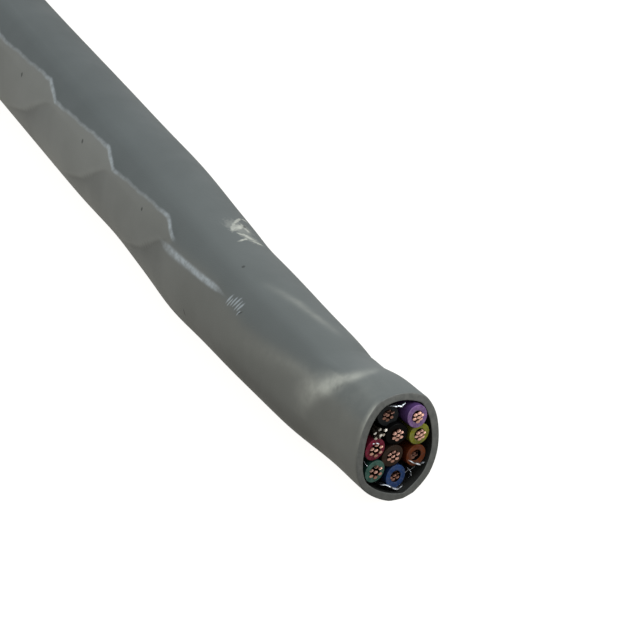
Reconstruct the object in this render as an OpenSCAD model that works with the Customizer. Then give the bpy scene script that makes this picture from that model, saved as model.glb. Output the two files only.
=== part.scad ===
// Foil-shielded cable with nine insulated conductors and a drain wire, cut to a short sample.
// It lies on its underside with the cut end, where the inside shows, towards +X.
// The origin is at the middle of the footprint, on the surface that the cable lies on.

/* [Route] */
// Straight length from the plain end to the bend
lead_length = 59; // [20:1:300]
// Turn of the bend to the left, which ends at the cut, in degrees
bend_angle = 9.5; // [5:0.5:60]
// Radius of the bend at the middle of the cable
bend_radius = 128; // [70:1:300]

/* [Conductors] */
// Diameter of one copper strand
strand_d = 0.25; // [0.15:0.01:0.5]
// Air between neighbouring strands, and between the strands and the insulation
strand_gap = 0.01; // [0.005:0.005:0.03]
// Wall of the insulation on each conductor
insulation_wall = 0.39; // [0.2:0.01:0.8]
// Air between neighbouring conductors where they lie closest
conductor_gap = 0.03; // [0.01:0.01:0.1]
// How far the strands stand out of their insulation at the cut end
strand_reveal = 0.1; // [0:0.05:0.4]

/* [Drain wire] */
// Diameter of one tinned strand of the drain wire
drain_strand_d = 0.2; // [0.1:0.01:0.25]
// How far the drain wire stands out of the jacket at the cut end
drain_reveal = 0.1; // [0:0.05:0.5]

/* [Foil shield] */
// Thickness of the foil tape
foil_wall = 0.05; // [0.03:0.01:0.15]
// Air between the bundle and the foil
foil_gap = 0.02; // [0.02:0.01:0.1]
// How far the foil stops short of the jacket at the cut end
foil_recess = 0.5; // [0.4:0.05:2]

/* [Jacket] */
// Wall of the outer jacket
jacket_wall = 0.5; // [0.35:0.05:1.2]
// Air between the foil and the jacket
jacket_gap = 0.04; // [0.04:0.01:0.2]
// Width of the slack beside the bundle, low on its left, where the foil and the jacket stand off
belly_width = 1.3; // [0.8:0.1:2]
// Height of the slack above the lowest conductor
belly_rise = 0.6; // [0:0.1:1]
// How far the underside is pressed flat by the surface
underside_press = 0.2; // [0.05:0.05:0.3]
// Lean of the cut, with the top further back, in degrees
cut_lean = 6; // [0:1:10]

/* [Crease, swell and ridge of the jacket] */
// Depth of the crease at its deepest
crease_depth = 0.25; // [0:0.05:0.3]
// Distance of the crease from the cut end
crease_from_end = 6; // [3:0.1:20]
// Half width of the crease along the cable
crease_width = 2; // [1:0.1:4]
// Half width of the crease round the jacket, in degrees
crease_spread = 75; // [20:5:90]
// Height of the swell in the middle of the cable
swell_height = 0.12; // [0:0.02:0.4]
// Distance of the swell from the cut end
swell_from_end = 38; // [20:1:60]
// Half length of the swell along the cable
swell_length = 17; // [5:1:30]
// Height of the ridge that the drain wire raises
ridge_height = 0.16; // [0:0.02:0.4]
// Distance from the cut end at which the ridge has sunk to half
ridge_from_end = 30; // [10:1:60]

/* [Hidden] */
$fn = 32;
bundle_strands = 7;
jacket_sides = 40;
// Number of sides on each hand over which the outline of the jacket is eased
ease_steps = 2;
lead_ring_step = 5;
bend_ring_step = 1;
// Place of the deepest point of the crease round the jacket, and its slant along the cable per degree
crease_angle = 72;
crease_slant = 0.03;
// Turn of the ridge past the drain wire and its half width, in degrees, and the length over which it sinks
ridge_turn = 8;
ridge_spread = 11;
ridge_fade = 6;
// Half width of the part of the underside that lies on the surface and stays plain, in degrees
underside_angle = -90;
underside_spread = 45;

jacket_grey = [0.42, 0.43, 0.42];
foil_silver = [0.78, 0.79, 0.8];
tin_silver = [0.72, 0.71, 0.69];
bare_copper = [0.72, 0.46, 0.36];

// Width of a bundle, which is one strand with six more round it
function bundle_d(strand, gap) = 3 * strand + 2 * gap;

bore_d = bundle_d(strand_d, strand_gap) + 2 * strand_gap;
conductor_d = bore_d + 2 * insulation_wall;
pitch = conductor_d + conductor_gap;
drain_d = bundle_d(drain_strand_d, strand_gap);

// Angle in the section of the line from the brown conductor to the black one, the pair in the core.
// Angles run from the left of the cable (+Y) towards the top.
core_turn = 71.5;

// Each conductor: colour name, colour, the two neighbours that it lies against, with the room left at
// each as a share of the pitch, and how far its end stands out of the cut. It lies on the left of the
// line from the first neighbour to the second. The core pair, black and brown, comes first.
conductors = [
    ["black", [0.06, 0.06, 0.07], [], [], 0],
    ["brown", [0.25, 0.14, 0.09], [], [], -0.1],
    ["red", [0.55, 0.07, 0.11], ["brown", 0.04], ["black", 0.23], -0.1],
    ["orange", [0.74, 0.3, 0.09], ["black", 0.41], ["brown", 0], -0.3],
    ["yellow", [0.6, 0.52, 0.16], ["black", 0.04], ["orange", 0.03], 0],
    ["green", [0.1, 0.36, 0.28], ["brown", 0.01], ["red", 0.05], -0.2],
    ["blue", [0.1, 0.22, 0.45], ["orange", 0.04], ["brown", 0.01], -0.2],
    ["violet", [0.37, 0.26, 0.52], ["black", 0.02], ["yellow", 0.01], 0.3],
    ["grey", [0.28, 0.3, 0.31], ["black", 0.01], ["violet", 0.25], -0.2]
];
// Room that the drain wire leaves at the red conductor and at the grey one, as a share of the pitch
drain_room = [0.01, 0.05];

// Section of the cable, in its own plane: first to the left, then up
function direction(angle) = [cos(angle), sin(angle)];

// The point at given distances from two others, on the left of the line from the first to the second
function nested(first, second, from_first, from_second) =
    let (
        span = norm(second - first),
        ahead = (second - first) / span,
        along = (from_first * from_first - from_second * from_second + span * span) / (2 * span),
        aside = sqrt(from_first * from_first - along * along)
    )
    first + along * ahead + aside * [-ahead.y, ahead.x];

function row_of(name) = [for (c = conductors) if (c[0] == name) c][0];
function spaced_out(room) = pitch * (1 + room);
function centre_of(name) =
    name == "black" ? pitch / 2 * direction(core_turn) :
    name == "brown" ? -centre_of("black") :
    let (first = row_of(name)[2], second = row_of(name)[3])
    nested(centre_of(first[0]), centre_of(second[0]), spaced_out(first[1]), spaced_out(second[1]));

drain_pitch = (conductor_d + drain_d) / 2 + conductor_gap;
drain_centre = nested(
    centre_of("red"),
    centre_of("grey"),
    drain_pitch + drain_room[0] * pitch,
    drain_pitch + drain_room[1] * pitch
);
drain_angle = atan2(drain_centre.y, drain_centre.x);
lowest_conductor = min([for (c = conductors) centre_of(c[0]).y]);
belly_centre = [belly_width, lowest_conductor + belly_rise];

// The foil is drawn tight round these circles, each a centre and a radius
wrapped = concat(
    [for (c = conductors) [centre_of(c[0]), conductor_d / 2]],
    [[drain_centre, drain_d / 2]],
    [[belly_centre, conductor_d / 2]]
);

section_step = 360 / jacket_sides;
section_angles = [for (k = [0 : jacket_sides - 1]) (k + 0.5) * section_step];

function reaches(angle) = [for (w = wrapped) w[0] * direction(angle) + w[1]];
function reach(angle) = max(reaches(angle));
function outermost(angle) =
    [for (i = [0 : len(wrapped) - 1]) if (reaches(angle)[i] == reach(angle)) wrapped[i]][0];
function foil_point(angle, grow) =
    let (circle = outermost(angle))
    circle[0] + (circle[1] + grow) * direction(angle);
function foil_outline(grow) = [for (angle = section_angles) foil_point(angle, grow)];

// The jacket is stiffer, so its outline is the foil's with the corners and flats eased
function total(values) = values * [for (v = values) 1];
function eased_reach(angle) =
    let (near = [for (j = [-ease_steps : ease_steps]) reach(angle + j * section_step)])
    total(near) / len(near);
function eased_slope(angle) =
    (eased_reach(angle + section_step) - eased_reach(angle - section_step))
        / (2 * section_step * PI / 180);
eased_reaches = [for (angle = section_angles) eased_reach(angle)];
eased_slopes = [for (angle = section_angles) eased_slope(angle)];
function jacket_point(k, grow) =
    (eased_reaches[k] + grow) * direction(section_angles[k])
        + eased_slopes[k] * direction(section_angles[k] + 90);

corner_loss = max([for (angle = [0 : 1 : 359]) reach(angle) - eased_reach(angle)]);
foil_inner = foil_gap;
foil_outer = foil_inner + foil_wall;
jacket_inner = foil_outer + corner_loss + jacket_gap;
jacket_outer = jacket_inner + jacket_wall;
jacket_floor = -eased_reach(underside_angle) - jacket_outer + underside_press;

// Route of the middle of the cable: a straight lead along +X, then one long bend to the left
function turn_of(length) = length / bend_radius * 180 / PI;
bend_length = bend_angle / turn_of(1);
route_length = lead_length + bend_length;

function heading_at(along) = turn_of(max(0, along - lead_length));
function route_point(along) =
    let (heading = heading_at(along))
    [
        min(along, lead_length) + bend_radius * sin(heading),
        bend_radius * (1 - cos(heading)),
        0
    ];

// A point of the section, given as left and up, at a distance along the route
function on_route(along, spot) =
    let (heading = heading_at(along))
    route_point(along) + [-spot.x * sin(heading), spot.x * cos(heading), spot.y];

// The cut leans back from the bottom to the top, and the lean fades out along the bend
function cut_shift(height) = -height * tan(cut_lean);
function leaned(along, height) =
    along + cut_shift(height) * max(0, (along - lead_length) / bend_length);

// Soft forms of the skin: each is a bell along the cable, round it, or both
function bell(x) = exp(-x * x);
function turned(angle, from) = (angle - from + 540) % 360 - 180;
function crease(from_end, angle) =
    let (off_middle = turned(angle, crease_angle))
    crease_depth * bell(off_middle / crease_spread)
        * bell((from_end - crease_from_end - crease_slant * off_middle) / crease_width);
function swell(from_end) =
    swell_height * bell((from_end - swell_from_end) / swell_length);
function ridge(from_end, angle) =
    ridge_height * bell(turned(angle, drain_angle + ridge_turn) / ridge_spread)
        / (1 + exp((ridge_from_end - from_end) / ridge_fade));
function skin_grow(along, angle) =
    let (
        from_end = route_length - along,
        soft = swell(from_end) + ridge(from_end, angle) - crease(from_end, angle),
        clear_of_surface = 1 - bell(turned(angle, underside_angle) / underside_spread)
    )
    jacket_outer + soft * clear_of_surface;

function spaced(from, to, step) =
    let (count = ceil((to - from) / step))
    [for (i = [0 : count - 1]) from + (to - from) * i / count];
rings = concat(
    spaced(0, lead_length, lead_ring_step),
    spaced(lead_length, route_length, bend_ring_step),
    [route_length]
);

function above_floor(spot) = [spot.x, max(spot.y, jacket_floor)];
jacket_skin = [
    for (along = rings)
        for (k = [0 : jacket_sides - 1])
            let (spot = above_floor(jacket_point(k, skin_grow(along, section_angles[k]))))
            on_route(leaned(along, spot.y), spot)
];
jacket_lining = [
    for (along = rings)
        for (k = [0 : jacket_sides - 1])
            let (spot = jacket_point(k, jacket_inner))
            on_route(leaned(along, spot.y), spot)
];

function low(axis) = min([for (p = jacket_skin) p[axis]]);
function high(axis) = max([for (p = jacket_skin) p[axis]]);
resting_place = [-(low(0) + high(0)) / 2, -(low(1) + high(1)) / 2, -low(2)];

// Triangles of a tube wall with the given number of rings and sides
function around(k) = (k + 1) % jacket_sides;
function wall_faces(first, outward) = [
    for (j = [0 : len(rings) - 2])
        for (k = [0 : jacket_sides - 1])
            let (
                a = first + j * jacket_sides + k,
                b = first + j * jacket_sides + around(k),
                c = b + jacket_sides,
                d = a + jacket_sides
            )
            for (face = outward ? [[a, d, c], [a, c, b]] : [[a, c, d], [a, b, c]])
                face
];
// Triangles of the end face between the skin's ring and the lining's ring
function end_faces(skin_first, lining_first, at_start) = [
    for (k = [0 : jacket_sides - 1])
        let (
            a = skin_first + k,
            b = skin_first + around(k),
            c = lining_first + around(k),
            d = lining_first + k
        )
        for (face = at_start ? [[a, b, c], [a, c, d]] : [[a, d, c], [a, c, b]])
            face
];

module at_rest() {
    translate(resting_place) children();
}

// Sweeps a flat section along the route, with its end set out by extra
module along_route(extra) {
    rotate([90, 0, 90]) linear_extrude(lead_length) children();
    translate([lead_length, bend_radius, 0])
        rotate([0, 0, -90])
            rotate_extrude(angle = bend_angle + turn_of(extra))
                translate([bend_radius, 0])
                    mirror([1, 0])
                        children();
}

// Seven separate strands: one in the middle and six round it
module strand_bundle(centre, strand, extra) {
    outer_strands = bundle_strands - 1;
    for (i = [0 : outer_strands])
        let (place = i == 0 ? [0, 0] : (strand + strand_gap) * direction(360 * i / outer_strands))
        union() along_route(extra) translate(centre + place) circle(d = strand);
}

module jacket() {
    count = len(jacket_skin);
    last = count - jacket_sides;
    color(jacket_grey) at_rest() polyhedron(
        points = concat(jacket_skin, jacket_lining),
        faces = concat(
            wall_faces(0, true),
            wall_faces(count, false),
            end_faces(0, count, true),
            end_faces(last, count + last, false)
        ),
        convexity = 6
    );
}

module foil_shield() {
    color(foil_silver) at_rest() along_route(-foil_recess) difference() {
        polygon(foil_outline(foil_outer));
        polygon(foil_outline(foil_inner));
    }
}

module drain_wire() {
    color(tin_silver) at_rest()
        strand_bundle(drain_centre, drain_strand_d, cut_shift(drain_centre.y) + drain_reveal);
}

module insulation(conductor) {
    centre = centre_of(conductor[0]);
    color(conductor[1]) at_rest() along_route(cut_shift(centre.y) + conductor[4])
        translate(centre) difference() {
            circle(d = conductor_d);
            circle(d = bore_d);
        }
}

module strands(conductor) {
    centre = centre_of(conductor[0]);
    color(bare_copper) at_rest()
        strand_bundle(centre, strand_d, cut_shift(centre.y) + conductor[4] + strand_reveal);
}

jacket();
foil_shield();
drain_wire();
for (c = conductors) {
    insulation(c);
    strands(c);
}
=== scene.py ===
"""Looks of a foil-shielded cable sample with nine conductors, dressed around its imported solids.

The cable lies on a pale floor, with the cut end that shows its inside towards +X. Lengths are in metres.
"""

import logging
import math
from dataclasses import dataclass
from enum import Enum
from typing import Any

import bpy
import numpy as np
from mathutils import Matrix, Vector


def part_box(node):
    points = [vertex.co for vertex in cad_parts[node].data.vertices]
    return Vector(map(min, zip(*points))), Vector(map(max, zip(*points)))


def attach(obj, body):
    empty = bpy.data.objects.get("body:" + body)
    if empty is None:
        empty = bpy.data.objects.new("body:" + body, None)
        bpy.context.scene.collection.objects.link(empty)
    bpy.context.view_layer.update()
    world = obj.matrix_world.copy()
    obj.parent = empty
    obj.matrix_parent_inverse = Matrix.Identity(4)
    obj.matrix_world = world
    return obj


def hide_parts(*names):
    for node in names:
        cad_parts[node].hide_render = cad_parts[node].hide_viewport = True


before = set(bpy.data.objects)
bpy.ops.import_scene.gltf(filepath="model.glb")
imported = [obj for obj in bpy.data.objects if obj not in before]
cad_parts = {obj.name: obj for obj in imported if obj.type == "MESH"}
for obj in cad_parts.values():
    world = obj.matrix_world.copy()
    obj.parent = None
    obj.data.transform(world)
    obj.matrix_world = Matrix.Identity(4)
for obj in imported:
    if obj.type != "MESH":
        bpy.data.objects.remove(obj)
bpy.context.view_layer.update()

LOG = logging.getLogger("cable")
MM = 0.001
BODY = "root"
Rgb = tuple[float, float, float]


class Colour(Enum):
    """Colour code of the conductors."""

    BLACK = "black"
    BROWN = "brown"
    RED = "red"
    ORANGE = "orange"
    YELLOW = "yellow"
    GREEN = "green"
    BLUE = "blue"
    VIOLET = "violet"
    GREY = "grey"


def bell(x: np.ndarray) -> np.ndarray:
    """Bell curve with a height and half width of one."""
    return np.exp(-x * x)


def ramp(x: np.ndarray) -> np.ndarray:
    """Smooth step from 0 to 1 around zero, one unit wide on each hand."""
    return 1.0 / (1.0 + np.exp(-4.0 * np.clip(x, -20.0, 20.0)))


def turned(angle: np.ndarray, start: np.ndarray | float) -> np.ndarray:
    """Turn in degrees from a start angle, between -180 and 180."""
    return (angle - start + 180.0) % 360.0 - 180.0


def unit(angle: np.ndarray) -> tuple[np.ndarray, np.ndarray]:
    """Left and up parts of a direction in the section, for an angle in degrees."""
    return np.cos(np.radians(angle)), np.sin(np.radians(angle))


def waves(x: np.ndarray, *parts: tuple[float, float, float]) -> np.ndarray:
    """Sum of sine waves, each with its height, its radians for one unit of x, and its radians at zero."""
    return sum(height * np.sin(rate * x + start) for height, rate, start in parts)


@dataclass(frozen=True)
class Curve:
    """A value that follows another one through a few given points."""

    at: tuple[float, ...]
    value: tuple[float, ...]

    def read(self, x: np.ndarray) -> np.ndarray:
        """The value at a place, straight between the points."""
        return np.interp(x, self.at, self.value)


@dataclass(frozen=True)
class Route:
    """Middle line of the cable: a straight lead along +X, then one long bend to the left."""

    start: Vector
    lead_length: float = 59 * MM
    bend_angle: float = math.radians(9.5)
    bend_radius: float = 128 * MM
    cut_lean: float = math.radians(6)

    @property
    def bend_length(self) -> float:
        """Length of the bend along the middle line."""
        return self.bend_angle * self.bend_radius

    @property
    def length(self) -> float:
        """Length of the whole middle line."""
        return self.lead_length + self.bend_length

    def cut_shift(self, up: np.ndarray) -> np.ndarray:
        """How far the leaning cut lies back from the end of the middle line, at a height above it."""
        return -up * math.tan(self.cut_lean)

    def wire_length(self, up: float) -> float:
        """Length of a wire that ends on the leaning cut, at a height above the middle line."""
        return self.length + float(self.cut_shift(np.array(up)))

    def leaned(self, along: np.ndarray, up: np.ndarray) -> np.ndarray:
        """Distance along the route with the lean of the cut, which fades out over the bend.

        Args:
            along: Distance along the middle line.
            up: Height above the middle line.

        Returns:
            The leaned distance.
        """
        return along + self.cut_shift(up) * np.maximum(0.0, (along - self.lead_length) / self.bend_length)

    def place(self, along: np.ndarray, left: np.ndarray, up: np.ndarray) -> np.ndarray:
        """Points of the cable in the row frame.

        Args:
            along: Distance along the middle line.
            left: Distance to the left of it.
            up: Height above it.

        Returns:
            An array of points, with the three coordinates on its last axis.
        """
        heading = np.maximum(0.0, along - self.lead_length) / self.bend_radius
        x = np.minimum(along, self.lead_length) + (self.bend_radius - left) * np.sin(heading)
        y = self.bend_radius - (self.bend_radius - left) * np.cos(heading)
        z = up + np.zeros_like(along)
        return np.stack([x, y, z], axis=-1) + np.array(self.start)

    def middle_points(self, step: float) -> list[list[float]]:
        """Points along the middle line, about a step apart."""
        along = np.linspace(0.0, self.length, 1 + round(self.length / step))
        nothing = np.zeros_like(along)
        return self.place(along, nothing, nothing).tolist()


@dataclass(frozen=True)
class Wire:
    """One wire of the bundle, as a circle in the section of the cable."""

    left: float
    up: float
    radius: float


class Section:
    """Cross section of the cable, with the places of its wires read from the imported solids."""

    strand_d = 0.25 * MM
    strand_gap = 0.01 * MM
    drain_strand_d = 0.2 * MM
    insulation_wall = 0.39 * MM
    belly_width = 1.3 * MM
    belly_rise = 0.6 * MM
    foil_gap = 0.02 * MM
    foil_wall = 0.05 * MM
    jacket_gap = 0.04 * MM
    jacket_wall = 0.5 * MM
    underside_press = 0.2 * MM
    underside_angle = -90.0
    ease_angle = 20.0
    ease_samples = 21

    def __init__(self) -> None:
        """Reads where the wires lie and works out the walls round them."""
        self.bore_radius = 1.5 * self.strand_d + 2 * self.strand_gap
        self.conductor_radius = self.bore_radius + self.insulation_wall
        self.drain_radius = 1.5 * self.drain_strand_d + self.strand_gap
        places = {c: self._centre(f"insulation_{c.value}", self.conductor_radius) for c in Colour}
        middle = (places[Colour.BLACK] + places[Colour.BROWN]) / 2
        self.origin = Vector((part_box("jacket")[0].x, middle.y, middle.z))
        self.wires = {c: self._wire(at, self.conductor_radius) for c, at in places.items()}
        self.drain = self._wire(self._centre("drain_wire", self.drain_radius), self.drain_radius)
        lowest = min(wire.up for wire in self.wires.values())
        belly = Wire(self.belly_width, lowest + self.belly_rise, self.conductor_radius)
        circles = [*self.wires.values(), self.drain, belly]
        self.circles = np.array([(w.left, w.up, w.radius) for w in circles])
        every_angle = np.arange(0.0, 360.0, 1.0)
        corner_loss = float(np.max(self.reach(every_angle) - self.eased(every_angle)))
        self.foil_inner = self.foil_gap
        self.foil_outer = self.foil_inner + self.foil_wall
        self.jacket_inner = self.foil_outer + corner_loss + self.jacket_gap
        self.jacket_outer = self.jacket_inner + self.jacket_wall
        lowest_reach = float(self.eased(np.array(self.underside_angle)))
        self.floor = -lowest_reach - self.jacket_outer + self.underside_press

    @staticmethod
    def _centre(node: str, radius: float) -> Vector:
        """Middle of a wire at the straight lead, where the wire lies furthest to the right."""
        low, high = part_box(node)
        return Vector((low.x, low.y + radius, (low.z + high.z) / 2))

    def _wire(self, at: Vector, radius: float) -> Wire:
        """A wire from its middle in the row frame."""
        return Wire(at.y - self.origin.y, at.z - self.origin.z, radius)

    def reach(self, angle: np.ndarray) -> np.ndarray:
        """How far the tightly wrapped bundle reaches in a direction."""
        left, up = unit(np.asarray(angle)[..., None])
        return np.max(self.circles[:, 0] * left + self.circles[:, 1] * up + self.circles[:, 2], axis=-1)

    def eased(self, angle: np.ndarray) -> np.ndarray:
        """The reach with its corners and flats eased, as a stiff jacket does."""
        offsets = np.linspace(-self.ease_angle, self.ease_angle, self.ease_samples)
        return np.mean([self.reach(angle + offset) for offset in offsets], axis=0)

    def jacket_point(self, angle: np.ndarray, grow: np.ndarray) -> tuple[np.ndarray, np.ndarray]:
        """Point of a jacket wall.

        Args:
            angle: Direction of the wall's normal in the section, in degrees.
            grow: Distance of the wall outside the eased bundle.

        Returns:
            How far left and how far up the point lies.
        """
        slope = (self.eased(angle + 1.0) - self.eased(angle - 1.0)) / math.radians(2.0)
        out = self.eased(angle) + grow
        left, up = unit(angle)
        return out * left - slope * up, out * up + slope * left


class NodeBoard:
    """A node tree under construction, with short ways to add and join nodes."""

    def __init__(self, tree: bpy.types.NodeTree) -> None:
        """Starts on an empty tree."""
        self.tree = tree
        tree.nodes.clear()

    def add(self, kind: str, inputs: dict[Any, Any] | None = None, **settings: Any) -> bpy.types.Node:
        """Adds a node.

        Args:
            kind: The node's type.
            inputs: Values or sockets for its inputs, by name or number.
            settings: Properties of the node.

        Returns:
            The new node.
        """
        node = self.tree.nodes.new(kind)
        for name, value in settings.items():
            setattr(node, name, value)
        for key, value in (inputs or {}).items():
            self.put(node.inputs[key], value)
        return node

    def put(self, socket: bpy.types.NodeSocket, value: Any) -> None:
        """Links a socket to an input, or sets the input's value."""
        if isinstance(value, bpy.types.NodeSocket):
            self.tree.links.new(value, socket)
        else:
            socket.default_value = value

    def math(self, operation: str, *values: Any) -> bpy.types.NodeSocket:
        """Result of a math node on numbers or sockets."""
        node = self.add("ShaderNodeMath", dict(enumerate(values)), operation=operation)
        return node.outputs[0]

    def vector(self, operation: str, *values: Any, number: bool = False) -> bpy.types.NodeSocket:
        """Result of a vector math node, as a vector or as a number."""
        node = self.add("ShaderNodeVectorMath", dict(enumerate(values)), operation=operation)
        return node.outputs["Value" if number else "Vector"]

    def scaled(self, vector: bpy.types.NodeSocket, scale: Any) -> bpy.types.NodeSocket:
        """A vector times a number."""
        node = self.add("ShaderNodeVectorMath", {"Vector": vector, "Scale": scale}, operation="SCALE")
        return node.outputs["Vector"]


class Shader(NodeBoard):
    """A procedural material under construction, on one principled surface."""

    def __init__(self, name: str) -> None:
        """Makes the material with its surface and output."""
        self.material = bpy.data.materials.new(name)
        self.material.use_nodes = True
        super().__init__(self.material.node_tree)
        self.surface = self.add("ShaderNodeBsdfPrincipled")
        output = self.add("ShaderNodeOutputMaterial")
        self.tree.links.new(self.surface.outputs["BSDF"], output.inputs["Surface"])
        self.place = self.add("ShaderNodeTexCoord").outputs["Object"]

    def finish(self, **inputs: Any) -> bpy.types.Material:
        """Sets inputs of the surface, named with spaces as underscores, and returns the material."""
        for name, value in inputs.items():
            self.put(self.surface.inputs[name.replace("_", " ")], value)
        return self.material

    def noise(self, size: float, detail: float = 2.0, place: Any = None) -> bpy.types.NodeSocket:
        """Noise with features of about a given size."""
        vector = self.place if place is None else place
        inputs = {"Vector": vector, "Scale": 1.0 / size, "Detail": detail}
        return self.add("ShaderNodeTexNoise", inputs).outputs["Fac"]

    def spread(self, value: Any, low: float, high: float, to_low: float, to_high: float) -> Any:
        """Maps a value smoothly from one range onto another."""
        inputs = {"Value": value, "From Min": low, "From Max": high, "To Min": to_low, "To Max": to_high}
        node = self.add("ShaderNodeMapRange", inputs, interpolation_type="SMOOTHSTEP")
        return node.outputs["Result"]

    def mix(self, factor: Any, first: Any, second: Any) -> bpy.types.NodeSocket:
        """Mix of two colours, given as sockets or as red, green and blue."""
        node = self.add("ShaderNodeMix", data_type="RGBA")
        self.put(node.inputs["Factor"], factor)
        for socket, colour in zip([s for s in node.inputs if s.type == "RGBA"], (first, second)):
            self.put(socket, colour if isinstance(colour, bpy.types.NodeSocket) else (*colour, 1.0))
        return next(s for s in node.outputs if s.type == "RGBA")

    def attribute(self, name: str) -> bpy.types.NodeSocket:
        """A number kept on the mesh."""
        return self.add("ShaderNodeAttribute", attribute_name=name).outputs["Fac"]

    def bump(self, height: Any, depth: float, strength: float = 1.0) -> bpy.types.NodeSocket:
        """Normal of a surface with small relief of a given depth."""
        inputs = {"Height": height, "Distance": depth, "Strength": strength}
        return self.add("ShaderNodeBump", inputs).outputs["Normal"]


@dataclass(frozen=True)
class Mark:
    """A stroke or speck on the jacket between two places.

    Each place is a distance from the cut end in millimetres and an angle in degrees.
    """

    start: tuple[float, float]
    end: tuple[float, float]
    half_width: float


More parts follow.
